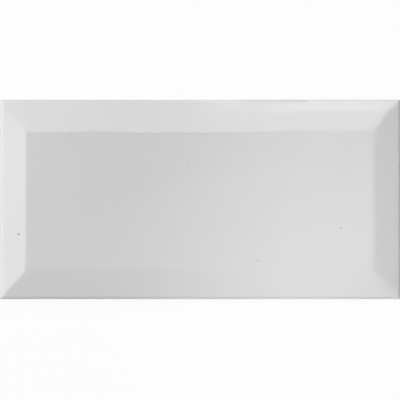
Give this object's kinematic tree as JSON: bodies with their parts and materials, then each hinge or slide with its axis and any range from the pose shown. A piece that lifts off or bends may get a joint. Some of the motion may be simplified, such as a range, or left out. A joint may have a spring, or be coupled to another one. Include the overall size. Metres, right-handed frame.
{
  "type": "subway wall tile",
  "caption": "Rectangular white glazed ceramic wall tile, twice as long as wide, with a flat field inside sloping bevels, softly rounded mitres and a ribbed key on its back",
  "frame": {"origin": "centre of the back, level with the crests of the key ribs, so the tile lies on Z = 0 with its glaze up", "axes": "+X along the length, +Y across the width towards the edge with the wider bevel, +Z out of the glazed face"},
  "size_m": [0.199, 0.099, 0.008],
  "materials": {
    "glaze": "gloss"
  },
  "bodies": {
    "root": {"tile": "glaze"}
  },
  "joints": []
}
